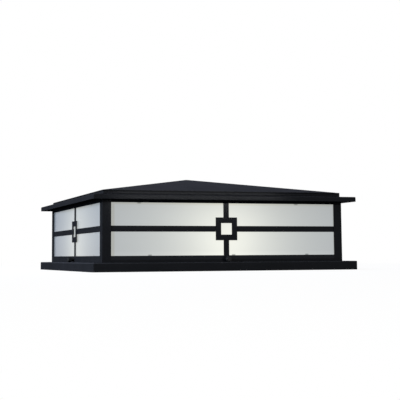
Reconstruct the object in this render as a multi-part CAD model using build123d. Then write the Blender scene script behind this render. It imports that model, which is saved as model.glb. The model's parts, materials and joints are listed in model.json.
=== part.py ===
from build123d import *
import math
import os

# A square lantern for the top of a masonry pier, in millimetres.
# The origin is the middle of the base on the pier's top, +Z is up and the front faces -Y.

# Plan sizes
body_side = 560.0
base_margin = 25.0
eave_overhang = 25.0
roof_inset = 2.0

# Heights
base_height = 19.5
frame_height = 142.0
rail_height = 14.3
eave_lip = 10.7
fascia_height = 10.2
roof_rise = 45.5

# Sheet and bar stock
base_sheet = 2.0
tray_sheet = 2.0
roof_sheet = 1.5
frame_sheet = 1.5
fold_inside = 1.0
angle_fold = 1.0
post_leg = 20.0
rail_leg = 20.0
bar_thickness = 1.5
cross_bar_width = 12.7
upright_width = 12.7
bar_rise = 0.8
ring_side = 50.0
ring_hole = 25.0
ring_thickness = 1.5
ring_lap = 10.0
bar_lap = 10.0

# Diffusing panels and their clips
panel_thickness = 3.0
panel_side_lap = 6.0
panel_top_lap = 8.0
clip_width = 8.0
clip_sheet = 1.0
clip_foot = 10.0
clip_reach = 3.0
low_clip_pitch = 187.0
low_clip_shift = 15.0
high_clip_pitch = 370.0
high_clip_shift = -11.0

# Roof fixings
roof_return = 20.0
roof_screw_inset = 12.0
roof_screw_diameter = 4.0
roof_screw_head = 8.0
roof_screw_head_height = 2.5
roof_screw_tail = 1.0
roof_nut_width = 7.0
roof_nut_height = 3.2
hole_clearance = 0.3
peak_width = 3.0

# Thumb screws, clamp nuts and clamp tabs
thumb_height = 6.5
thumb_diameter = 6.0
thumb_head = 12.7
thumb_head_length = 9.0
thumb_neck = 8.0
thumb_neck_length = 6.0
knurl_teeth = 20
knurl_depth = 0.4
knurl_rim = 0.2
thumb_chamfer = 0.8
nut_side = 10.0
nut_thickness = 5.0
nut_gap = 0.3
thread_gap = 0.05
thumb_tip = 3.0
tab_sheet = 2.0
tab_width = 50.0
tab_foot = 24.0
tab_gap = 0.3
tab_top_gap = 1.3
tab_notch = 16.0

# Hat channels and anchor holes
anchor_spacing = 300.0
anchor_hole = 9.0
channel_length = 420.0
channel_web = 34.0
channel_flange = 15.0
channel_sheet = 2.0

# Riser nipple and locknuts
nipple_diameter = 26.7
nipple_bore = 21.0
nipple_below = 14.5
nipple_above = 8.0
locknut_width = 36.0
locknut_thickness = 4.0
earth_screw_offset = 45.0
earth_screw_diameter = 5.0
earth_screw_length = 10.0
earth_head_width = 8.0
earth_head_height = 3.5

# Lamp box
lamp_height = 78.0
box_side = 100.0
box_height = 60.0
box_sheet = 1.5
lid_lip = 7.5
lid_gap = 0.3
lid_screw_diameter = 3.0
lid_screw_head = 6.0
lid_screw_head_height = 2.0
lid_screw_length = 6.0
lid_screw_offset = 35.0

# Lamp sockets, each on a threaded stem through the wall of the lamp box
socket_collar = 41.0
socket_collar_length = 10.0
socket_barrel = 37.0
socket_length = 46.0
socket_floor = 12.0
socket_bevel = 1.5
stem_diameter = 9.5
stem_bore = 6.0
stem_grip = 8.0
stem_tail = 1.0
stem_nut_width = 14.0
stem_nut_thickness = 3.0
shell_wall = 0.7
shell_recess = 3.0
contact_diameter = 12.0
contact_thickness = 0.6
contact_gap = 0.3

# Lamps
cap_diameter = 26.3
cap_clearance = 0.1
cap_cone = 3.0
cap_length = 21.6
cap_button = 9.0
cap_button_height = 2.4
bulb_diameter = 60.0
bulb_length = 108.0
bulb_neck = 26.0
bulb_wall = 1.0

# Places worked out from the sizes
half = body_side / 2
base_side = body_side + 2 * base_margin
eave_side = body_side + 2 * eave_overhang
roof_side = body_side - 2 * roof_inset
deck = base_height
frame_top = deck + frame_height
ledge = deck + rail_height
window_top = frame_top - rail_height
tray_top = frame_top + tray_sheet
bar_middle = (ledge + window_top) / 2 + bar_rise
bar_front = half - frame_sheet
bar_back = bar_front - bar_thickness
panel_back = bar_back - panel_thickness
rail_half = half - post_leg
thumb_z = deck + thumb_height
tab_face = half - frame_sheet - tab_gap
nut_face = tab_face - tab_sheet - nut_gap
box_floor = lamp_height - box_height / 2
box_top = lamp_height + box_height / 2
roof_screw_radius = half - roof_screw_inset
shell_bore = cap_diameter + 2 * cap_clearance
socket_bore = shell_bore + 2 * shell_wall
socket_mouth = box_side / 2 + socket_length
shell_floor = box_side / 2 + socket_floor
lamp_tip = shell_floor + contact_thickness + contact_gap
cap_start = lamp_tip + cap_button_height + cap_cone
cap_end = cap_start + cap_length

# The four sides are one side in four quarter turns, and so are the corners
side_names = ("front", "right", "back", "left")
corner_names = ("front_left", "front_right", "back_right", "back_left")
quarter_turn = 360 / len(side_names)
sides = {name: turns * quarter_turn for turns, name in enumerate(side_names)}
corners = {name: turns * quarter_turn for turns, name in enumerate(corner_names)}


def block(x, y, z):
    """A box between two values on each axis."""
    size = [high - low for low, high in (x, y, z)]
    middle = [(high + low) / 2 for low, high in (x, y, z)]
    return Pos(*middle) * Box(*size)


def turned(shape, angle):
    """A copy turned about the vertical axis."""
    return Rot(0, 0, angle) * shape


def outward(shape):
    """A shape made along +Z from the origin, turned to point out of the front, along -Y."""
    return Rot(90, 0, 0) * shape


def round_bar(diameter, start, end):
    """A cylinder on the Z axis from one height to another."""
    return Pos(0, 0, start) * extrude(Circle(diameter / 2), end - start)


def on_sides(shape):
    """Copies of a front piece on all four sides."""
    return [turned(shape, angle) for angle in sides.values()]


def folded_pan(side, depth, sheet, top):
    """A square pan folded from sheet, open below, with its upper face at the height top."""
    outer = extrude(RectangleRounded(side, side, fold_inside + sheet), depth)
    outer = fillet(outer.edges().group_by(Axis.Z)[-1], sheet)
    inner_side = side - 2 * sheet
    inner = extrude(RectangleRounded(inner_side, inner_side, fold_inside), depth - sheet)
    return Pos(0, 0, top - depth) * (outer - inner)


def hexagon_nut(width, thickness, thread):
    """A hexagon nut standing on the origin, a little wider inside than the thread that it holds."""
    nut = extrude(RegularPolygon(width / 2, 6, major_radius=False), thickness)
    return nut - round_bar(thread + 2 * thread_gap, -1, thickness + 1)


def cheese_screw(head, head_height, diameter, length):
    """A screw with a straight head above the origin and its shank below."""
    return round_bar(head, 0, head_height) + round_bar(diameter, -length, 0)


def anchor_holes(bottom, top):
    """Clearance holes for the four anchors."""
    reach = anchor_spacing / 2
    bar = round_bar(anchor_hole, bottom - 1, top + 1)
    return [Pos(x, y, 0) * bar for x in (-reach, reach) for y in (-reach, reach)]


def roof_screw_hole(bottom, top):
    """The clearance hole for the roof screw of the front side."""
    bar = round_bar(roof_screw_diameter + 2 * hole_clearance, bottom - 1, top + 1)
    return Pos(0, -roof_screw_radius, 0) * bar


def base_pan():
    pan = folded_pan(base_side, base_height, base_sheet, deck)
    pan -= anchor_holes(deck - base_sheet, deck)
    pan -= round_bar(nipple_diameter + 2 * hole_clearance, 0, deck + 1)
    earth = Pos(earth_screw_offset, 0, 0)
    return pan - earth * round_bar(earth_screw_diameter, 0, deck + 1)


def hat_section():
    """The section of a hat channel, with its feet at zero and its web on top."""
    height = base_height - base_sheet
    outer = channel_web / 2
    inner = outer - channel_sheet
    toe = outer + channel_flange
    right = [(0, height), (outer, height), (outer, channel_sheet), (toe, channel_sheet), (toe, 0)]
    right += [(inner, 0), (inner, height - channel_sheet), (0, height - channel_sheet)]
    left = [(-y, z) for y, z in reversed(right)]
    return make_face(Polyline(*right, *left[1:-1], close=True))


def mounting_channels():
    channel = extrude(Plane.YZ * hat_section(), channel_length / 2, both=True)
    pair = [Pos(0, y, 0) * channel for y in (-anchor_spacing / 2, anchor_spacing / 2)]
    holes = anchor_holes(0, deck)
    return [channel - holes for channel in pair]


def clamp_tab():
    """An upright tab behind the front rail, with an open-topped slot for the thumb screw."""
    top = ledge - frame_sheet - tab_top_gap
    across = (-tab_width / 2, tab_width / 2)
    upright = block(across, (-tab_face, -tab_face + tab_sheet), (deck, top))
    foot = block(across, (-tab_face, -tab_face + tab_foot), (deck, deck + tab_sheet))
    notch_side = (-tab_notch / 2, tab_notch / 2)
    notch_reach = (-tab_face + tab_sheet, -tab_face + tab_foot + 1)
    notch = block(notch_side, notch_reach, (deck - 1, deck + tab_sheet + 1))
    slot_width = thumb_diameter + 2 * hole_clearance
    slot = Pos(0, 0, thumb_z) * outward(round_bar(slot_width, 0, half))
    slot += block((-slot_width / 2, slot_width / 2), (-half, 0), (thumb_z, top + 1))
    cut_back = block((-half, half), (-tab_face - 1, -tab_face + tab_sheet + 0.01), (0, top + 1))
    return upright + foot - notch - (slot & cut_back)


def riser_nipple():
    bottom = deck - base_sheet - nipple_below
    top = box_floor + box_sheet + nipple_above
    outer = round_bar(nipple_diameter, bottom, top)
    return outer - round_bar(nipple_bore, 0, box_top)


def nipple_locknuts():
    """Locknuts above and below the base pan and the floor of the lamp box."""
    nut = hexagon_nut(locknut_width, locknut_thickness, nipple_diameter)
    above = (deck, box_floor + box_sheet)
    below = (deck - base_sheet - locknut_thickness, box_floor - locknut_thickness)
    return [Pos(0, 0, seat) * nut for seat in above + below]


def earth_screw():
    head = extrude(RegularPolygon(earth_head_width / 2, 6, major_radius=False), earth_head_height)
    shank = round_bar(earth_screw_diameter, -earth_screw_length, 0)
    return Pos(earth_screw_offset, 0, deck) * (head + shank)


def lid_screw_place(side):
    """The seat of a lid screw on the outside of the lid's lip, at the left or right side."""
    outside = box_side / 2 + lid_gap + box_sheet
    height = box_top + box_sheet - lid_lip / 2
    return Pos(side * outside, lid_screw_offset, height) * Rot(0, side * 90, 0)


def lid_screw_holes():
    bar = round_bar(lid_screw_diameter, -lid_screw_length - 1, 1)
    return [lid_screw_place(side) * bar for side in (-1, 1)]


def lamp_box():
    box = folded_pan(box_side, box_height, box_sheet, 0)
    box = Pos(0, 0, box_floor) * Rot(180, 0, 0) * box
    box -= round_bar(nipple_diameter + 2 * hole_clearance, 0, lamp_height)
    stem_hole = outward(round_bar(stem_diameter + 2 * hole_clearance, 0, box_side))
    box -= on_sides(Pos(0, 0, lamp_height) * stem_hole)
    return box - lid_screw_holes()


def lamp_box_lid():
    side = box_side + 2 * (lid_gap + box_sheet)
    return folded_pan(side, lid_lip, box_sheet, box_top + box_sheet) - lid_screw_holes()


def lid_screws():
    screw = cheese_screw(lid_screw_head, lid_screw_head_height, lid_screw_diameter, lid_screw_length)
    return [lid_screw_place(side) * screw for side in (-1, 1)]


def socket_body():
    """A ceramic lamp socket: a collar at the root, a barrel and a stepped bore."""
    barrel = round_bar(socket_barrel, 0, socket_length)
    barrel = chamfer(barrel.edges().group_by(Axis.Z)[-1], socket_bevel)
    body = barrel + round_bar(socket_collar, 0, socket_collar_length)
    body -= round_bar(socket_bore, socket_floor, socket_length + 1)
    body -= round_bar(stem_diameter + 2 * thread_gap, -1, socket_floor + 1)
    return Pos(0, -box_side / 2, lamp_height) * outward(body)


def socket_stem():
    """The hollow threaded stem that holds the front socket, and its nut inside the lamp box."""
    wall = box_side / 2
    nut_seat = wall - box_sheet - stem_nut_thickness
    stem = round_bar(stem_diameter, nut_seat - stem_tail, wall + stem_grip)
    stem -= round_bar(stem_bore, 0, socket_mouth)
    nut = Pos(0, 0, nut_seat) * hexagon_nut(stem_nut_width, stem_nut_thickness, stem_diameter)
    return [Pos(0, 0, lamp_height) * outward(piece) for piece in (stem, nut)]


def socket_shell():
    """The brass screw shell that lines the socket's bore."""
    shell = round_bar(socket_bore, shell_floor, socket_mouth - shell_recess)
    shell -= round_bar(shell_bore, 0, socket_mouth)
    return Pos(0, 0, lamp_height) * outward(shell)


def socket_contact():
    """The centre contact, a disc on the floor of the socket's bore."""
    contact = round_bar(contact_diameter, shell_floor, shell_floor + contact_thickness)
    return Pos(0, 0, lamp_height) * outward(contact)


def bulb_cap():
    """The lamp's screw cap: contact button, insulator cone and shell."""
    radius = cap_diameter / 2
    points = [(0, lamp_tip), (cap_button / 2, lamp_tip), (cap_button / 2, lamp_tip + cap_button_height)]
    points += [(radius, cap_start), (radius, cap_end), (0, cap_end)]
    cap = revolve(Plane.XZ * make_face(Polyline(*points, close=True)), Axis.Z)
    return Pos(0, 0, lamp_height) * outward(cap)


def bulb_outline(neck, head, start, end):
    """Half the outline of a bulb: a ball at the end, joined to its neck by a tangent hollow arc."""
    centre = end - head
    run = centre - start
    hollow = (run ** 2 + neck ** 2 - head ** 2) / (2 * (head - neck))
    lean = math.atan2(run, neck + hollow)
    touch = (neck + hollow - hollow * math.cos(lean), start + hollow * math.sin(lean))
    bend = (neck + hollow - hollow * math.cos(lean / 2), start + hollow * math.sin(lean / 2))
    crown_angle = (math.pi / 2 - (math.pi - lean) + math.pi / 2) / 2
    crown = (head * math.cos(crown_angle), centre + head * math.sin(crown_angle))
    outline = Polyline((0, start), (neck, start))
    outline += ThreePointArc((neck, start), bend, touch)
    outline += ThreePointArc(touch, crown, (0, end))
    return outline + Line((0, end), (0, start))


def bulb_glass():
    """The lamp's glass, a thin shell from the cap to the crown."""
    end = lamp_tip + bulb_length
    neck = bulb_neck / 2
    head = bulb_diameter / 2
    outer = revolve(Plane.XZ * make_face(bulb_outline(neck, head, cap_end, end)), Axis.Z)
    inner_outline = bulb_outline(neck - bulb_wall, head - bulb_wall, cap_end + bulb_wall, end - bulb_wall)
    inner = revolve(Plane.XZ * make_face(inner_outline), Axis.Z)
    return Pos(0, 0, lamp_height) * outward(outer - inner)


def corner_post():
    """The front left post: an angle with its outer corner at the body's corner."""
    points = [(0, 0), (post_leg, 0), (post_leg, frame_sheet), (frame_sheet, frame_sheet)]
    points += [(frame_sheet, post_leg), (0, post_leg)]
    post = extrude(make_face(Polyline(*points, close=True)), frame_height)
    corner = post.edges().filter_by(Axis.Z).sort_by(lambda edge: edge.center().X + edge.center().Y)[0]
    post = fillet(corner, angle_fold)
    return Pos(-half, -half, deck) * post


def rail(top):
    """A front rail: an angle with its upright leg outside and its level leg on top, pointing in."""
    points = [(0, 0), (rail_leg, 0), (rail_leg, -frame_sheet), (frame_sheet, -frame_sheet)]
    points += [(frame_sheet, -rail_height), (0, -rail_height)]
    angle = extrude(Plane.YZ * make_face(Polyline(*points, close=True)), rail_half, both=True)
    corner = angle.edges().filter_by(Axis.X).sort_by(lambda edge: edge.center().Z - edge.center().Y)[-1]
    angle = fillet(corner, angle_fold)
    return Pos(0, -half, top) * angle


def bottom_rail():
    hole = outward(round_bar(thumb_diameter + 2 * hole_clearance, 0, half + 1))
    return rail(ledge) - Pos(0, 0, thumb_z) * hole


def top_rail():
    return rail(frame_top) - roof_screw_hole(frame_top - frame_sheet, frame_top)


def glazing_bars():
    """The front cross bar in two halves and the two uprights, which all end behind the ring."""
    depth = (-bar_front, -bar_back)
    stop = ring_side / 2 - ring_lap
    end = rail_half + bar_lap
    level = (bar_middle - cross_bar_width / 2, bar_middle + cross_bar_width / 2)
    across = (-upright_width / 2, upright_width / 2)
    left = block((-end, -stop), depth, level)
    right = block((stop, end), depth, level)
    lower = block(across, depth, (ledge, bar_middle - stop))
    upper = block(across, depth, (bar_middle + stop, window_top + bar_lap))
    return [left, right, lower, upper]


def square_ring():
    """The front square ring, a plate on the face of the bars."""
    ring = extrude(Rectangle(ring_side, ring_side) - Rectangle(ring_hole, ring_hole), ring_thickness)
    return Pos(0, -bar_front, bar_middle) * outward(ring)


def panel():
    width = rail_half + panel_side_lap
    return block((-width, width), (-bar_back, -panel_back), (ledge, window_top + panel_top_lap))


def clip(offset, seat, reach):
    """An angle clip behind the front panel, from its seat up or down past the window's edge."""
    across = (offset - clip_width / 2, offset + clip_width / 2)
    step = math.copysign(clip_sheet, reach)
    foot = sorted((seat, seat + step))
    leg = sorted((seat, seat + reach))
    face = -panel_back
    return block(across, (face, face + clip_foot), foot) + block(across, (face, face + clip_sheet), leg)


def panel_clips():
    """Three clips on the front ledge and two under the top rail."""
    low = [low_clip_shift + step * low_clip_pitch for step in (-1, 0, 1)]
    high = [high_clip_shift + step * high_clip_pitch for step in (-0.5, 0.5)]
    under_rail = frame_top - frame_sheet
    clips = [clip(offset, ledge, clip_sheet + clip_reach) for offset in low]
    return clips + [clip(offset, under_rail, window_top - clip_reach - under_rail) for offset in high]


def eave_tray():
    tray = folded_pan(eave_side, eave_lip, tray_sheet, tray_top)
    return tray - on_sides(roof_screw_hole(frame_top, tray_top))


def hipped_form(side, upright, rise):
    """A square block with a low hipped top: one gable crossed with itself."""
    edge = side / 2
    tip = peak_width / 2
    right = [(tip, upright + rise), (edge, upright), (edge, 0)]
    left = [(-x, z) for x, z in reversed(right)]
    gable = extrude(Plane.XZ * make_face(Polyline(*left, *right, close=True)), edge, both=True)
    return gable & turned(gable, 90)


def roof_pan():
    """A folded roof: upright fascia, hipped top and a return flange that rests on the tray."""
    slope = math.atan2(roof_rise, (roof_side - peak_width) / 2)
    outer = hipped_form(roof_side, fascia_height, roof_rise)
    corner_radius = fold_inside + roof_sheet
    outer &= extrude(RectangleRounded(roof_side, roof_side, corner_radius), fascia_height + roof_rise)
    inner_side = roof_side - 2 * roof_sheet
    inner_upright = fascia_height + roof_sheet * (math.tan(slope) - 1 / math.cos(slope))
    inner_rise = roof_rise * (inner_side - peak_width) / (roof_side - peak_width)
    hollow = hipped_form(inner_side, inner_upright, inner_rise)
    flange = extrude(Rectangle(roof_side, roof_side), roof_sheet)
    opening = roof_side - 2 * roof_return
    flange -= extrude(Rectangle(opening, opening), roof_sheet)
    roof = Pos(0, 0, tray_top) * (outer - (hollow - flange))
    return roof - on_sides(roof_screw_hole(tray_top, tray_top + roof_sheet))


def roof_screw():
    """The front screw up through rail, tray and roof flange."""
    seat = frame_top - frame_sheet
    length = tray_top + roof_sheet + roof_nut_height + roof_screw_tail - seat
    screw = cheese_screw(roof_screw_head, roof_screw_head_height, roof_screw_diameter, length)
    return Pos(0, -roof_screw_radius, seat) * Rot(180, 0, 0) * screw


def roof_nut():
    """The front nut on the roof pan's return flange."""
    nut = hexagon_nut(roof_nut_width, roof_nut_height, roof_screw_diameter)
    return Pos(0, -roof_screw_radius, tray_top + roof_sheet) * nut


def knurled_head():
    """A straight-knurled band between two bevelled rims."""
    crest = thumb_head / 2
    points = []
    for step in range(2 * knurl_teeth):
        radius = crest - knurl_depth * (step % 2)
        angle = math.pi * step / knurl_teeth
        points.append((radius * math.cos(angle), radius * math.sin(angle)))
    band = extrude(make_face(Polyline(*points, close=True)), thumb_head_length - 2 * thumb_chamfer)
    blank = round_bar(thumb_head - 2 * (knurl_depth + knurl_rim), 0, thumb_head_length)
    blank = chamfer(blank.edges().filter_by(GeomType.CIRCLE), thumb_chamfer)
    return blank + Pos(0, 0, thumb_chamfer) * band


def thumb_screw():
    """The front thumb screw, with its neck seated on the rail."""
    inner_end = nut_face - nut_thickness - thumb_tip
    screw = Pos(0, 0, half + thumb_neck_length) * knurled_head()
    screw += round_bar(thumb_neck, half, half + thumb_neck_length)
    screw += round_bar(thumb_diameter, inner_end, half)
    return Pos(0, 0, thumb_z) * outward(screw)


def clamp_nut():
    """The square nut on the front thumb screw, which the deck keeps from turning."""
    nut = extrude(Rectangle(nut_side, nut_side), nut_thickness)
    nut -= round_bar(thumb_diameter + 2 * thread_gap, -1, nut_thickness + 1)
    return Pos(0, -(nut_face - nut_thickness), thumb_z) * outward(nut)


def all_parts():
    """Every piece by its name, single pieces first and then those made side by side."""
    parts = {
        "base_pan": base_pan(),
        "mounting_channels": mounting_channels(),
        "clamp_tabs": on_sides(clamp_tab()),
        "riser_nipple": riser_nipple(),
        "nipple_locknuts": nipple_locknuts(),
        "earth_screw": earth_screw(),
        "lamp_box": lamp_box(),
        "lamp_box_lid": lamp_box_lid(),
        "lid_screws": lid_screws(),
        "socket_stems": sum([on_sides(piece) for piece in socket_stem()], []),
        "socket_shells": on_sides(socket_shell()),
        "socket_contacts": on_sides(socket_contact()),
        "panel_clips": sum([on_sides(one) for one in panel_clips()], []),
        "eave_tray": eave_tray(),
        "roof_pan": roof_pan(),
        "roof_screws": on_sides(roof_screw()),
        "roof_nuts": on_sides(roof_nut()),
        "clamp_nuts": on_sides(clamp_nut()),
    }
    post = corner_post()
    for corner, angle in corners.items():
        parts["post_" + corner] = turned(post, angle)
    made_by_side = {
        "bottom_rail": bottom_rail(),
        "top_rail": top_rail(),
        "glazing_bars": glazing_bars(),
        "square_ring": square_ring(),
        "panel": panel(),
        "socket_body": socket_body(),
        "bulb_cap": bulb_cap(),
        "bulb_glass": bulb_glass(),
        "thumb_screw": thumb_screw(),
    }
    for name, shape in made_by_side.items():
        for side, angle in sides.items():
            pieces = shape if isinstance(shape, list) else [shape]
            parts[name + "_" + side] = [turned(piece, angle) for piece in pieces]
    return parts


os.makedirs("parts", exist_ok=True)
for name, shape in all_parts().items():
    pieces = shape if isinstance(shape, list) else [shape]
    solids = [solid for piece in pieces for solid in piece.solids()]
    export_step(Compound(children=solids) if len(solids) > 1 else solids[0], "parts/" + name + ".step")
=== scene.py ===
import json
import math

import bmesh
import bpy
from mathutils import Matrix, Vector

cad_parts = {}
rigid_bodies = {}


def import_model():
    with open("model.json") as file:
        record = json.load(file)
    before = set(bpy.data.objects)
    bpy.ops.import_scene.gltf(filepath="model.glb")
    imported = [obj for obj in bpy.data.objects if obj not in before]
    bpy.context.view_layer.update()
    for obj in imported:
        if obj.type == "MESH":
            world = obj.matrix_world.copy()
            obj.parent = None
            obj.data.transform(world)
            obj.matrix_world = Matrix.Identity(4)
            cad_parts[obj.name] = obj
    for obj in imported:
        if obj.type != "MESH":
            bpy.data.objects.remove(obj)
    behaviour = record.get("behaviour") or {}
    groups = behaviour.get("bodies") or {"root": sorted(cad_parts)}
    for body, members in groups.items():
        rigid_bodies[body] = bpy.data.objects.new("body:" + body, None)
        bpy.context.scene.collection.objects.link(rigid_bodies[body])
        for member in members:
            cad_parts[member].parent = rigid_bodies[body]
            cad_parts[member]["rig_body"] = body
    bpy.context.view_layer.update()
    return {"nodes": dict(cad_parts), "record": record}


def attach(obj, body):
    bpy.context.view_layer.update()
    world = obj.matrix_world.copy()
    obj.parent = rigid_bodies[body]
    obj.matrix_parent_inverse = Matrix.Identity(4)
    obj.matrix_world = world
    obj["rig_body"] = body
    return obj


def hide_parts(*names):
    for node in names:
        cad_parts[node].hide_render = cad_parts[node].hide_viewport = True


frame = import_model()

# The looks of a square lantern on a pier, in metres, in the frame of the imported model.

nodes = frame["nodes"]
slot_of = {part["node"]: part["material_slot"] for part in frame["record"]["subparts"]}

# The turn of each side about the upright axis, in degrees from the front, and the corners between them
sides = {"front": 0, "right": 90, "back": 180, "left": 270}
corners = ("front_left", "front_right", "back_right", "back_left")

# Camera, solved from the photograph
image_side = 400
focal_pixels = 1013.27
principal_point = (190, 150)
camera_place = Vector((-0.78172, -2.36676, 0.03188))
camera_yaw = 0.32292
camera_pitch = 0.10455
camera_roll = -0.0066
sensor_width = 36

# The four lamps: how far out their glow sits, how high it is for the panels, which is low because the pan
# below is lit too, how high their axes are, where their glass begins, and each one's share of the light
lamp_reach = 0.1409
glow_height = 0.067
lamp_height = 0.078
glass_neck = 0.095
lamp_shares = {"front": 1.0, "right": 0.5, "back": 0.15, "left": 0.54}

# The window in front of each panel, and the places along its lower and upper edges that the clips shade
window_bottom = 0.0338
window_top = 0.1472
window_half = 0.26
low_clips = (-0.174, 0.017, 0.193)
high_clips = (-0.198, 0.168)
clip_half = 0.004
clip_shade_height = 0.0022
clip_shade_top = window_top + 0.004
clip_shade_share = 0.4
mark_softness = 0.0012

# The range that noise values mostly have. Below, each noise is a number of features to the metre and a
# detail, and each spread is how far a value goes below and above its middle.
noise_low = 0.3
noise_high = 0.7

# Powder coat. Its gloss is a thin coat of a high index, which shines about the same at every angle.
coat_colors = ((0.0197, 0.0204, 0.0240), (0.0225, 0.0233, 0.0273))
# Painted shade: a darker coat without gloss for the top rails, which sit in the shade of the eave's lip
painted_shade_coat_colors = ((0.007, 0.0073, 0.009), (0.0098, 0.0102, 0.0124))
screw_colors = ((0.0165, 0.017, 0.019), (0.019, 0.0195, 0.0215))
green_colors = ((0.02, 0.20, 0.06), (0.03, 0.26, 0.08))
coat_roughness = 0.55
screw_roughness = 0.45
green_roughness = 0.4
gloss_weight = 0.0105
screw_gloss_weight = 0.035
gloss_index = 4.0
gloss_roughness = 0.12
coat_shade_noise = (12, 2.0)
coat_shade_spread = (0.03, 0.03)
coat_color_noise = (24, 3.0)
coat_roughness_noise = (90, 2.0)
coat_roughness_spread = (0.04, 0.04)
orange_peel_noise = (650, 2.0)
orange_peel_depth = 0.00003

# Level bands of painted shade and painted highlight in the coat: bottom, top and share of the usual shade.
# The roof's are painted shade in the creases under its fold and where it meets the tray. The posts' is
# painted shade under the eave. The bottom rails' is a painted highlight on their upper part, and the base
# pan's is a painted highlight along its top fold.
roof_painted_shade_bands = ((0.1630, 0.1663, 0.3), (0.1704, 0.1727, 0.45))
rail_painted_highlight_bands = ((0.0252, 0.0345, 1.42),)
post_painted_shade_bands = ((0.1465, 0.1630, 0.35),)
base_painted_highlight_bands = ((0.0176, 0.0197, 1.65),)
band_softness = 0.0004

# Painted highlights along the roof's hips, which begin at the height of the fascia's top and make each hip a
# little lighter
hip_highlight_half = 0.0016
hip_highlight_softness = 0.0008
hip_highlight_rise = (0.1738, 0.1745)
hip_highlight_share = 1.5

# The coats, by name: colours, and where they differ from the usual one, roughness, gloss, bands of painted
# shade and highlight, and painted hip highlights
coats = {
    "black_powder_coat": {"colors": coat_colors},
    "roof_coat": {"colors": coat_colors, "bands": roof_painted_shade_bands, "hips": True},
    "rail_coat": {"colors": coat_colors, "bands": rail_painted_highlight_bands},
    "post_coat": {"colors": coat_colors, "bands": post_painted_shade_bands},
    "base_coat": {"colors": coat_colors, "bands": base_painted_highlight_bands},
    # Painted shade under the eave's lip, for the top rails
    "painted_shade_coat": {"colors": painted_shade_coat_colors, "gloss": 0.0},
    "black_screw": {"colors": screw_colors, "roughness": screw_roughness, "gloss": screw_gloss_weight},
    "green_screw": {"colors": green_colors, "roughness": green_roughness},
}

# Which of them a powder-coated piece has instead of its slot's own, by the start of its name
coat_of = {
    # The roof, posts, front and back bottom rails and base pan get bands of painted shade or painted
    # highlight, and the top rails get a darker coat without gloss that is painted shade under the eave's lip
    "roof_pan": "roof_coat",
    "top_rail": "painted_shade_coat",
    "post": "post_coat",
    "bottom_rail_front": "rail_coat",
    "bottom_rail_back": "rail_coat",
    "base_pan": "base_coat",
}

# Bare metals and glazes, each with its colour and roughness
metals = {
    "zinc_steel": ((0.60, 0.61, 0.63), 0.34),
    "clip_steel": ((0.34, 0.34, 0.35), 0.42),
    "brass": ((0.80, 0.60, 0.27), 0.26),
    "cap_metal": ((0.78, 0.78, 0.77), 0.28),
}
metal_dark_share = 0.86
metal_color_noise = (220, 4.0)
metal_roughness_noise = (660, 2.0)
metal_roughness_spread = (0.06, 0.08)
metal_grain_depth = 0.00001
glazes = {
    "white_enamel": ((0.82, 0.82, 0.80), 0.25),
    "porcelain": ((0.86, 0.85, 0.81), 0.16),
    "black_glass": ((0.02, 0.02, 0.022), 0.2),
}
glaze_coat = {"Coat Weight": 0.6, "Coat Roughness": 0.05}
glaze_dark_share = 0.93
glaze_color_noise = (60, 3.0)
glaze_roughness_noise = (150, 2.0)
glaze_roughness_spread = (0.05, 0.05)
glaze_wave_depth = 0.00004

# White acrylic, and the light that comes through it, painted as a glow: an even part, given for the window's
# bottom and top, and a part from each lamp. A strip along one end and the top of the window is dimmer and
# warmer, painted shade where the frame shades the panel.
acrylic_finish = {"Roughness": 0.3, "Specular IOR Level": 0.2}
acrylic_color = (0.2, 0.21, 0.214)
edge_shade_acrylic_color = (0.18, 0.183, 0.176)
acrylic_wave_noise = (40, 1.0)
acrylic_wave_depth = 0.0001
usual_glow = ((0.304, 0.325, 0.345), (0.306, 0.327, 0.346))
left_glow = ((0.005, 0.018, 0.055), (0.045, 0.075, 0.132))
even_glow = {"front": usual_glow, "right": usual_glow, "back": usual_glow, "left": left_glow}
glow_noise = (9, 1.0)
glow_spread = (0.015, 0.015)
lamp_glow_color = (1.0, 0.97, 0.78)
glow_per_light = 0.0084
glow_at_top = 0.97
glow_at_ledge = 1.08
ledge_glow_height = 0.010
strip_width = 0.008
top_strip_height = 0.004
edge_shade_share = 0.93
edge_shade_tint = (1.0, 0.98, 0.92)
no_tint = (1.0, 1.0, 1.0)

# The lit bulbs' frosted glass, whose glow is dimmer at its neck and towards its top and bottom, a painted
# shade that rounds it
glass_roughness = 0.35
glass_colors = ((0.62, 0.62, 0.61), (0.68, 0.68, 0.67))
glass_noise = (50, 2.0)
lamp_color = (1.0, 0.95, 0.82)
lamp_strength = 0.75
neck_share = 0.45
round_share = 0.72
round_shade_start = 0.008
round_shade_end = 0.03

# Edges that the real pieces have rounded, with the radius of each
edge_radii = {
    "base_pan": 0.0004,
    "eave_tray": 0.0004,
    "roof_pan": 0.0006,
    "mounting_channels": 0.0004,
    "clamp_tabs": 0.0004,
    "lamp_box": 0.0003,
    "lamp_box_lid": 0.0003,
    "panel_clips": 0.0002,
    "nipple_locknuts": 0.0004,
    "roof_nuts": 0.0003,
    "clamp_nuts": 0.0004,
}
side_edge_radii = {
    "bottom_rail": 0.0003,
    "top_rail": 0.0003,
    "glazing_bars": 0.0004,
    "square_ring": 0.0003,
    "panel": 0.0004,
}
post_edge_radius = 0.0003
edge_segments = 2
round_profile = 0.5
weld_distance = 0.000001
flat_angle = math.radians(0.6)
sharp_angle = math.radians(35)

# The fold along the top of the roof pan's fascia: how far out the fascia is, and a height below the fold
fold_radius = 0.0018
fold_segments = 4
fascia_reach = 0.2779
fascia_foot = 0.164

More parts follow.
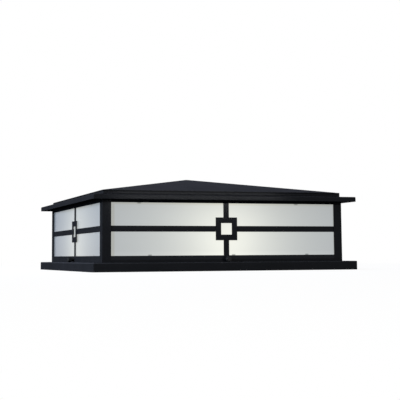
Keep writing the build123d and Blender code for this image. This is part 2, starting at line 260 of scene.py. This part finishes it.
# Threads, cut into the plain CAD cylinders; a cap's materials are its metal, then brass, then black glass
ring_steps = 40
stations_per_pitch = 8
cap_pitch = 0.00363
cap_radius = 0.01315
cap_thread_depth = 0.0007
button_radius = 0.0045
button_height = 0.0024
cone_height = 0.003
brass_index = 1
black_glass_index = 2
shell_bore = 0.01325
shell_radius = 0.01395
shell_thread_depth = 0.0005
screw_height = 0.026
screw_pitch = 0.001
screw_radius = 0.003
screw_thread_depth = 0.0005
rail_face = 0.28
shank_margin = 0.00002

# Studio, with each light's place, size, power and colour
lit_point = (0, 0, 0.1)
lights = {
    "overhead_light": ((-0.9, 0.6, 2.8), (2.4, 2.4), 130, (0.85, 0.88, 1.0)),
    "left_light": ((-2.1, -0.6, 0.5), (1.2, 1.2), 28, (0.68, 0.83, 1.0)),
    "front_light": ((0.62, -2.3, 0.28), (0.7, 0.07), 1.55, (0.93, 0.96, 1.0)),
}
ambient_color = (0.86, 0.92, 1.0)
ambient_strength = 0.13
white_color = (1.0, 1.0, 1.0)
white_strength = 1.0
floor_half = 8.0
floor_finish = {"Roughness": 0.9, "Specular IOR Level": 0.0}
floor_colors = ((0.79, 0.79, 0.79), (0.81, 0.81, 0.81))
floor_noise = (3, 2.0)
floor_near = 0.7
floor_far = 2.2
floor_whitening = 0.92
floor_bounce = (0.15, 0.15, 0.15)


def set_sockets(node, values):
    """Writes plain values into the named sockets of a node."""
    for name, value in values.items():
        node.inputs[name].default_value = value


def new_material(name, values):
    """A material with a Principled shader; returns the material, its tree and the shader."""
    made = bpy.data.materials.new(name)
    made.use_nodes = True
    shader = made.node_tree.nodes["Principled BSDF"]
    set_sockets(shader, values)
    return made, made.node_tree, shader


def place_of(tree):
    """The socket that gives a point's place on its piece, in metres."""
    return tree.nodes.new("ShaderNodeTexCoord").outputs["Object"]


def parts_of(tree, place):
    """The sockets that give the X, Y and Z of a place."""
    made = tree.nodes.new("ShaderNodeSeparateXYZ")
    tree.links.new(place, made.inputs["Vector"])
    return made.outputs


def noise(tree, kind):
    """A noise texture, from its features to the metre and its detail; returns its value socket."""
    made = tree.nodes.new("ShaderNodeTexNoise")
    set_sockets(made, {"Scale": kind[0], "Detail": kind[1]})
    tree.links.new(place_of(tree), made.inputs["Vector"])
    return made.outputs["Fac"]


def ranged(tree, source, low, high, start=noise_low, end=noise_high):
    """A value mapped from start to end onto low to high, without going past them."""
    made = tree.nodes.new("ShaderNodeMapRange")
    set_sockets(made, {"From Min": start, "From Max": end, "To Min": low, "To Max": high})
    tree.links.new(source, made.inputs["Value"])
    return made.outputs["Result"]


def uneven(tree, kind, middle, spread):
    """A value that noise moves below and above its middle."""
    return ranged(tree, noise(tree, kind), middle - spread[0], middle + spread[1])


def blended(tree, factor, first, second):
    """Two colours mixed by a value."""
    made = tree.nodes.new("ShaderNodeMix")
    made.data_type = "RGBA"
    made.inputs["A"].default_value = (*first, 1)
    made.inputs["B"].default_value = (*second, 1)
    tree.links.new(factor, made.inputs["Factor"])
    return made.outputs["Result"]


def bumped(tree, shader, source, depth):
    """A bump of that depth in metres on the shader's normal."""
    made = tree.nodes.new("ShaderNodeBump")
    set_sockets(made, {"Strength": 1.0, "Distance": depth})
    tree.links.new(source, made.inputs["Height"])
    tree.links.new(made.outputs["Normal"], shader.inputs["Normal"])


def math_node(tree, operation, first, second=None):
    """A maths node on sockets or plain numbers; returns its value socket."""
    made = tree.nodes.new("ShaderNodeMath")
    made.operation = operation
    for index, value in enumerate((first, second)):
        if value is None:
            continue
        if isinstance(value, (int, float)):
            made.inputs[index].default_value = value
        else:
            tree.links.new(value, made.inputs[index])
    return made.outputs["Value"]


def product(tree, first, *others):
    """The product of sockets or plain numbers."""
    for value in others:
        first = math_node(tree, "MULTIPLY", first, value)
    return first


def vector_node(tree, operation, first, second=None, output="Vector"):
    """A vector maths node on sockets or plain vectors."""
    made = tree.nodes.new("ShaderNodeVectorMath")
    made.operation = operation
    for index, value in enumerate((first, second)):
        if value is None:
            continue
        if isinstance(value, tuple):
            made.inputs[index].default_value = value
        else:
            tree.links.new(value, made.inputs[index])
    return made.outputs[output]


def scaled(tree, vector, scale):
    """A vector or colour, times a value."""
    made = vector_node(tree, "SCALE", vector)
    tree.links.new(scale, made.node.inputs["Scale"])
    return made


def within(tree, value, low, high, softness):
    """One between two limits and none past them, with soft edges."""
    rise = ranged(tree, value, 0, 1, low - softness, low + softness)
    fall = ranged(tree, value, 1, 0, high - softness, high + softness)
    return math_node(tree, "MINIMUM", rise, fall)


def share_where(tree, mask, share):
    """A share where a mask is one, and one where it is none."""
    return ranged(tree, mask, 1.0, share, 0, 1)


def painted_hip_highlights(tree, apart):
    """One along the painted highlights on the roof's four hips and none elsewhere."""
    along_x = math_node(tree, "ABSOLUTE", apart["X"])
    along_y = math_node(tree, "ABSOLUTE", apart["Y"])
    off = math_node(tree, "SUBTRACT", along_x, along_y)
    beside = within(tree, off, -hip_highlight_half, hip_highlight_half, hip_highlight_softness)
    return product(tree, beside, ranged(tree, apart["Z"], 0, 1, *hip_highlight_rise))


def powder_coat(name, colors, roughness=coat_roughness, gloss=gloss_weight, bands=(), hips=False):
    """Sprayed and baked powder, satin with a fine orange peel; bands of painted shade and painted highlight,
    and painted highlights on the hips, change its shade.
    """
    made, tree, shader = new_material(name, {"Specular IOR Level": 0.0})
    set_sockets(shader, {"Coat IOR": gloss_index, "Coat Roughness": gloss_roughness})
    apart = parts_of(tree, place_of(tree))
    shade = uneven(tree, coat_shade_noise, 1.0, coat_shade_spread)
    # Painted shade and painted highlight: each band scales the colour and the gloss by its share
    for low, high, share in bands:
        inside = within(tree, apart["Z"], low, high, band_softness)
        shade = product(tree, shade, share_where(tree, inside, share))
    # Painted highlights along the roof's hips
    if hips:
        shade = product(tree, shade, share_where(tree, painted_hip_highlights(tree, apart), hip_highlight_share))
    cloud = ranged(tree, noise(tree, coat_color_noise), 0, 1)
    tree.links.new(scaled(tree, blended(tree, cloud, *colors), shade), shader.inputs["Base Color"])
    tree.links.new(product(tree, shade, gloss), shader.inputs["Coat Weight"])
    rough = uneven(tree, coat_roughness_noise, roughness, coat_roughness_spread)
    tree.links.new(rough, shader.inputs["Roughness"])
    bumped(tree, shader, noise(tree, orange_peel_noise), orange_peel_depth)
    return made


def metal(name, color, roughness):
    """Bare or plated metal, slightly uneven in its gloss."""
    made, tree, shader = new_material(name, {"Metallic": 1.0})
    darker = tuple(metal_dark_share * part for part in color)
    cloud = noise(tree, metal_color_noise)
    tree.links.new(blended(tree, ranged(tree, cloud, 0, 1), darker, color), shader.inputs["Base Color"])
    rough = uneven(tree, metal_roughness_noise, roughness, metal_roughness_spread)
    tree.links.new(rough, shader.inputs["Roughness"])
    bumped(tree, shader, cloud, metal_grain_depth)
    return made


def glazed(name, color, roughness):
    """A glossy glaze or enamel with slight waves."""
    made, tree, shader = new_material(name, glaze_coat)
    darker = tuple(glaze_dark_share * part for part in color)
    cloud = noise(tree, glaze_color_noise)
    tree.links.new(blended(tree, ranged(tree, cloud, 0, 1), darker, color), shader.inputs["Base Color"])
    rough = uneven(tree, glaze_roughness_noise, roughness, glaze_roughness_spread)
    tree.links.new(rough, shader.inputs["Roughness"])
    bumped(tree, shader, cloud, glaze_wave_depth)
    return made


def clip_shade(tree, across, height):
    """One where the clips behind a panel shade it and none elsewhere."""
    bottom = within(tree, height, 0, window_bottom + clip_shade_height, mark_softness)
    top = within(tree, height, window_top - clip_shade_height, clip_shade_top, mark_softness)
    shade = None
    for band, places in ((bottom, low_clips), (top, high_clips)):
        for middle in places:
            column = within(tree, across, middle - clip_half, middle + clip_half, mark_softness)
            one = product(tree, column, band)
            shade = one if shade is None else math_node(tree, "MAXIMUM", shade, one)
    return shade


def lamp_light(tree, place, lamp, facing):
    """How strongly one lamp lights a surface that faces one way, by the inverse square law."""
    reach = vector_node(tree, "SUBTRACT", place, lamp)
    distance = vector_node(tree, "LENGTH", reach, output="Value")
    across = vector_node(tree, "DOT_PRODUCT", reach, facing, output="Value")
    toward = math_node(tree, "MAXIMUM", across, 0)
    return math_node(tree, "DIVIDE", toward, math_node(tree, "POWER", distance, 3))


def all_lamps_light(tree, place, facing):
    """The light of the four lamps on a surface that faces one way."""
    light = None
    for name, turn in sides.items():
        angle = math.radians(turn)
        lamp = (lamp_reach * math.sin(angle), -lamp_reach * math.cos(angle), glow_height)
        one = product(tree, lamp_light(tree, place, lamp, facing), lamp_shares[name])
        light = one if light is None else math_node(tree, "ADD", light, one)
    return light


def white_acrylic(side):
    """A white diffusing panel, with a painted glow that stands in for the four lamps' light behind it."""
    angle = math.radians(sides[side])
    facing = (math.sin(angle), -math.cos(angle), 0)
    along = (math.cos(angle), math.sin(angle), 0)
    made, tree, shader = new_material("white_acrylic_" + side, acrylic_finish)
    place = place_of(tree)
    height = parts_of(tree, place)["Z"]
    across = vector_node(tree, "DOT_PRODUCT", place, along, output="Value")
    lamp_part = product(tree, all_lamps_light(tree, place, facing), glow_per_light)
    rising = ranged(tree, height, 0, 1, window_bottom, window_top)
    even_part = blended(tree, rising, *even_glow[side])
    glow_color = vector_node(tree, "ADD", scaled(tree, lamp_glow_color, lamp_part), even_part)
    # Painted light: the glow is a little dimmer towards the top and brighter just above the ledge
    lift = ranged(tree, height, 1.0, glow_at_top, window_bottom, window_top)
    low_edge = ranged(tree, height, glow_at_ledge, 1.0, window_bottom, window_bottom + ledge_glow_height)
    cloud = uneven(tree, glow_noise, 1.0, glow_spread)
    # Painted shade: a strip along one end and the top of the window, where the frame shades the panel, and
    # the clips' painted shadows dim the glow and darken the base colour
    strip = within(tree, across, strip_width - window_half, window_half, mark_softness)
    top_strip = within(tree, height, 0, window_top - top_strip_height, mark_softness)
    open_part = math_node(tree, "MINIMUM", strip, top_strip)
    edged = ranged(tree, open_part, edge_shade_share, 1.0, 0, 1)
    shaded = share_where(tree, clip_shade(tree, across, height), clip_shade_share)
    strength = product(tree, lift, low_edge, cloud, edged, shaded)
    tint = blended(tree, open_part, edge_shade_tint, no_tint)
    tree.links.new(strength, shader.inputs["Emission Strength"])
    tree.links.new(vector_node(tree, "MULTIPLY", glow_color, tint), shader.inputs["Emission Color"])
    plain = blended(tree, product(tree, open_part, shaded), edge_shade_acrylic_color, acrylic_color)
    tree.links.new(plain, shader.inputs["Base Color"])
    bumped(tree, shader, noise(tree, acrylic_wave_noise), acrylic_wave_depth)
    return made


def frosted_glass():
    """The frosted bulb of a lit lamp."""
    made, tree, shader = new_material("frosted_glass", {"Roughness": glass_roughness})
    set_sockets(shader, {"Emission Color": (*lamp_color, 1)})
    cloud = ranged(tree, noise(tree, glass_noise), 0, 1)
    tree.links.new(blended(tree, cloud, *glass_colors), shader.inputs["Base Color"])
    place = place_of(tree)
    level = vector_node(tree, "MULTIPLY", place, (1.0, 1.0, 0.0))
    reach = vector_node(tree, "LENGTH", level, output="Value")
    # Painted shade on the glow: dimmer at the neck and towards the top and bottom
    along = ranged(tree, reach, neck_share, 1.0, glass_neck, lamp_reach)
    off = math_node(tree, "ABSOLUTE", math_node(tree, "SUBTRACT", parts_of(tree, place)["Z"], lamp_height))
    round_shade = ranged(tree, off, 1.0, round_share, round_shade_start, round_shade_end)
    strength = product(tree, along, round_shade, lamp_strength)
    tree.links.new(strength, shader.inputs["Emission Strength"])
    return made


materials = {name: powder_coat(name, **values) for name, values in coats.items()}
for name, values in metals.items():
    materials[name] = metal(name, *values)
for name, values in glazes.items():
    materials[name] = glazed(name, *values)
materials["frosted_glass"] = frosted_glass()
acrylics = {side: white_acrylic(side) for side in sides}


def finish_of(name):
    """The material of a CAD node, by its slot in the record and by its name."""
    if slot_of[name] == "white_acrylic":
        return acrylics[name.removeprefix("panel_")]
    for start, finish in coat_of.items():
        if name.startswith(start):
            return materials[finish]
    return materials[slot_of[name]]


for name, node in nodes.items():
    node.data.materials.clear()
    node.data.materials.append(finish_of(name))


def welded(name):
    """A CAD node's mesh to work on, with its doubled points joined."""
    shape = bmesh.new()
    shape.from_mesh(nodes[name].data)
    bmesh.ops.remove_doubles(shape, verts=shape.verts, dist=weld_distance)
    return shape


def sharp_edges(shape):
    """The edges where two faces meet at a clear angle."""
    return [edge for edge in shape.edges if edge.is_manifold and edge.calc_face_angle() > sharp_angle]


def on_fold(edge):
    """Whether an edge lies on the outer faces of the roof pan's fascia and above its foot."""
    outside = all(max(abs(end.co.x), abs(end.co.y)) > fascia_reach for end in edge.verts)
    return outside and max(end.co.z for end in edge.verts) > fascia_foot


def round_off(shape, edges, radius, segments):
    """Rounds some edges of a mesh."""
    bmesh.ops.bevel(shape, geom=edges, offset=radius, segments=segments, profile=round_profile,
                    affect="EDGES", clamp_overlap=True)


def add_piece(name, shape, finishes):
    """A finished mesh in the place of a CAD node."""
    mesh = bpy.data.meshes.new("shaped_" + name)
    shape.to_mesh(mesh)
    shape.free()
    for attribute in [a for a in mesh.attributes if "normal" in a.name]:
        mesh.attributes.remove(attribute)
    for face in mesh.polygons:
        face.use_smooth = True
    mesh.set_sharp_from_angle(angle=sharp_angle)
    for finish in finishes:
        mesh.materials.append(finish)
    piece = bpy.data.objects.new("shaped_" + name, mesh)
    bpy.context.scene.collection.objects.link(piece)
    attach(piece, nodes[name]["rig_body"])
    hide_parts(name)
    return piece


def rounded(name, radius):
    """A copy of a CAD node with its sharp edges rounded, in the node's place."""
    shape = welded(name)
    bmesh.ops.dissolve_limit(shape, angle_limit=flat_angle, verts=shape.verts, edges=shape.edges)
    if name == "roof_pan":
        folds = [edge for edge in sharp_edges(shape) if on_fold(edge)]
        round_off(shape, folds, fold_radius, fold_segments)
    round_off(shape, sharp_edges(shape), radius, edge_segments)
    piece = add_piece(name, shape, [finish_of(name)])
    even = piece.modifiers.new("even_normals", "WEIGHTED_NORMAL")
    even.keep_sharp = True


def outward_of(side):
    """The direction out of one side of the lantern."""
    angle = math.radians(sides[side])
    return Vector((math.sin(angle), -math.cos(angle), 0))


def ring_of(side, height, station, pitch):
    """A ring of points about an axis out of one side, for a station: how far out, its radius and its cut.

    The cut winds round the axis as a right-hand thread.
    """
    reach, radius, cut = station
    turned = Matrix.Rotation(math.radians(sides[side]), 3, "Z")
    points = []
    for step in range(ring_steps):
        angle = math.tau * step / ring_steps
        deep = radius - cut * (0.5 - 0.5 * math.cos(math.tau * reach / pitch - angle))
        points.append(turned @ Vector((deep * math.cos(angle), -reach, height + deep * math.sin(angle))))
    return points


def thread_stations(start, end, radius, pitch, cut):
    """The stations along a thread, whose cut runs out over half a turn at both ends."""
    count = round(abs(end - start) / pitch * stations_per_pitch)
    stations = []
    for step in range(count + 1):
        reach = start + (end - start) * step / count
        runout = min(1, 2 * abs(reach - start) / pitch, 2 * abs(end - reach) / pitch)
        stations.append((reach, radius, cut * runout))
    return stations


def join_rings(shape, side, height, stations, pitch, closed=False):
    """Adds the surface through rings of points; returns its rings and its bands of faces."""
    rings = [[shape.verts.new(point) for point in ring_of(side, height, one, pitch)] for one in stations]
    following = rings[1:] + rings[:1] if closed else rings[1:]
    bands = []
    for first, second in zip(rings, following):
        fours = [(first[i - 1], first[i], second[i], second[i - 1]) for i in range(ring_steps)]
        bands.append([shape.faces.new(four) for four in fours])
    return rings, bands


def reaches(name, side):
    """How far out a CAD node begins and ends."""
    far = [outward_of(side).dot(vertex.co) for vertex in nodes[name].data.vertices]
    return min(far), max(far)


def threaded_cap(side):
    """A lamp's screw cap with its rolled thread, its brass button and the black glass round it."""
    name = "bulb_cap_" + side
    tip, end = reaches(name, side)
    start = tip + button_height + cone_height
    stations = [(tip, button_radius, 0), (tip + button_height, button_radius, 0)]
    stations += thread_stations(start, end, cap_radius, cap_pitch, cap_thread_depth)
    shape = bmesh.new()
    rings, bands = join_rings(shape, side, lamp_height, stations, cap_pitch)
    button = [shape.faces.new(rings[0])] + bands[0]
    shape.faces.new(rings[-1])
    for face in button:
        face.material_index = brass_index
    for face in bands[1]:
        face.material_index = black_glass_index
    bmesh.ops.recalc_face_normals(shape, faces=shape.faces)
    add_piece(name, shape, [materials["cap_metal"], materials["brass"], materials["black_glass"]])


def threaded_shells():
    """The four brass shells, threaded inside."""
    name = "socket_shells"
    lengths = [max(abs(vertex.co.x), abs(vertex.co.y)) for vertex in nodes[name].data.vertices]
    bottom = min(lengths)
    mouth = max(lengths)
    shape = bmesh.new()
    for side in sides:
        stations = [(bottom, shell_radius, 0), (mouth, shell_radius, 0)]
        stations += thread_stations(mouth, bottom, shell_bore, cap_pitch, -shell_thread_depth)
        join_rings(shape, side, lamp_height, stations, cap_pitch, closed=True)
    bmesh.ops.recalc_face_normals(shape, faces=shape.faces)
    add_piece(name, shape, [materials["brass"]])


def on_shank(face, outward):
    """Whether a face of a thumb screw belongs to its plain shank."""
    for vertex in face.verts:
        reach = outward.dot(vertex.co)
        off = vertex.co - reach * outward - Vector((0, 0, screw_height))
        if off.length > screw_radius + shank_margin or reach > rail_face + shank_margin:
            return False
    return True


def threaded_thumb_screw(side):
    """A thumb screw as the CAD has it, with a thread on its shank."""
    name = "thumb_screw_" + side
    outward = outward_of(side)
    inner_end = reaches(name, side)[0]
    shape = welded(name)
    shank = [face for face in shape.faces if on_shank(face, outward)]
    bmesh.ops.delete(shape, geom=shank, context="FACES")
    bmesh.ops.holes_fill(shape, edges=[edge for edge in shape.edges if edge.is_boundary])
    stations = thread_stations(inner_end, rail_face, screw_radius, screw_pitch, screw_thread_depth)
    rings = join_rings(shape, side, screw_height, stations, screw_pitch)[0]
    shape.faces.new(rings[0])
    shape.faces.new(rings[-1])
    bmesh.ops.recalc_face_normals(shape, faces=shape.faces)
    add_piece(name, shape, [finish_of(name)])


def make_camera():
    """The photograph's camera, from its solved place, angles and principal point."""
    forward = Vector((math.sin(camera_yaw) * math.cos(camera_pitch),
                      math.cos(camera_yaw) * math.cos(camera_pitch),
                      math.sin(camera_pitch)))
    level = Vector((math.cos(camera_yaw), -math.sin(camera_yaw), 0))
    upright = level.cross(forward)
    right = math.cos(camera_roll) * level + math.sin(camera_roll) * upright
    up = math.cos(camera_roll) * upright - math.sin(camera_roll) * level
    data = bpy.data.cameras.new("camera")
    data.sensor_width = sensor_width
    data.lens = focal_pixels / image_side * sensor_width
    data.shift_x = 0.5 - principal_point[0] / image_side
    data.shift_y = principal_point[1] / image_side - 0.5
    camera = bpy.data.objects.new("camera", data)
    bpy.context.scene.collection.objects.link(camera)
    turn = Matrix((right, up, -forward)).transposed()
    camera.matrix_world = Matrix.Translation(camera_place) @ turn.to_4x4()
    bpy.context.scene.camera = camera


def soft_light(name, place, size, power, color):
    """A rectangular lamp that faces the object."""
    data = bpy.data.lights.new(name, "AREA")
    data.shape = "RECTANGLE"
    data.size = size[0]
    data.size_y = size[1]
    data.energy = power
    data.color = color
    light = bpy.data.objects.new(name, data)
    light.location = place
    toward = Vector(lit_point) - Vector(place)
    light.rotation_euler = toward.to_track_quat("-Z", "Y").to_euler()
    bpy.context.scene.collection.objects.link(light)


def seen_directly(tree):
    """One for rays that show the background: camera, glossy and transmission rays."""
    path = tree.nodes.new("ShaderNodeLightPath")
    mirrored = math_node(tree, "MAXIMUM", path.outputs["Is Glossy Ray"], path.outputs["Is Transmission Ray"])
    return math_node(tree, "MAXIMUM", path.outputs["Is Camera Ray"], mirrored)


def mixed_shader(tree, first, second):
    """Two shaders mixed; returns the node, whose factor is still to be set."""
    made = tree.nodes.new("ShaderNodeMixShader")
    tree.links.new(first, made.inputs[1])
    tree.links.new(second, made.inputs[2])
    return made


def make_world():
    """A soft even sky for light, and plain white where it is seen."""
    world = bpy.data.worlds.new("studio")
    world.use_nodes = True
    tree = world.node_tree
    ambient = tree.nodes["Background"]
    set_sockets(ambient, {"Color": (*ambient_color, 1), "Strength": ambient_strength})
    white = tree.nodes.new("ShaderNodeBackground")
    set_sockets(white, {"Color": (*white_color, 1), "Strength": white_strength})
    mixed = mixed_shader(tree, ambient.outputs["Background"], white.outputs["Background"])
    tree.links.new(seen_directly(tree), mixed.inputs["Fac"])
    tree.links.new(mixed.outputs["Shader"], tree.nodes["World Output"].inputs["Surface"])
    bpy.context.scene.world = world


def floor_material():
    """A pale floor that keeps a soft shadow round the object and fades to the white background."""
    made, tree, shader = new_material("pale_floor", floor_finish)
    cloud = ranged(tree, noise(tree, floor_noise), 0, 1)
    tree.links.new(blended(tree, cloud, *floor_colors), shader.inputs["Base Color"])
    distance = vector_node(tree, "LENGTH", place_of(tree), output="Value")
    white = tree.nodes.new("ShaderNodeEmission")
    near = mixed_shader(tree, shader.outputs["BSDF"], white.outputs["Emission"])
    near.inputs["Fac"].default_value = floor_whitening
    seen = mixed_shader(tree, near.outputs["Shader"], white.outputs["Emission"])
    tree.links.new(ranged(tree, distance, 0, 1, floor_near, floor_far), seen.inputs["Fac"])
    dim = tree.nodes.new("ShaderNodeBsdfDiffuse")
    dim.inputs["Color"].default_value = (*floor_bounce, 1)
    whole = mixed_shader(tree, dim.outputs["BSDF"], seen.outputs["Shader"])
    tree.links.new(seen_directly(tree), whole.inputs["Fac"])
    tree.links.new(whole.outputs["Shader"], tree.nodes["Material Output"].inputs["Surface"])
    return made


def make_floor():
    """A large level square under the object."""
    mesh = bpy.data.meshes.new("floor")
    points = [(x * floor_half, y * floor_half, 0) for x, y in ((-1, -1), (1, -1), (1, 1), (-1, 1))]
    mesh.from_pydata(points, [], [(0, 1, 2, 3)])
    mesh.materials.append(floor_material())
    floor = bpy.data.objects.new("floor", mesh)
    bpy.context.scene.collection.objects.link(floor)


for name, radius in edge_radii.items():
    rounded(name, radius)
for side in sides:
    for start, radius in side_edge_radii.items():
        rounded(start + "_" + side, radius)
for corner in corners:
    rounded("post_" + corner, post_edge_radius)
threaded_shells()
for side in sides:
    threaded_cap(side)
    threaded_thumb_screw(side)

bpy.context.scene.view_settings.view_transform = "Standard"
make_camera()
make_world()
make_floor()
for name, values in lights.items():
    soft_light(name, *values)
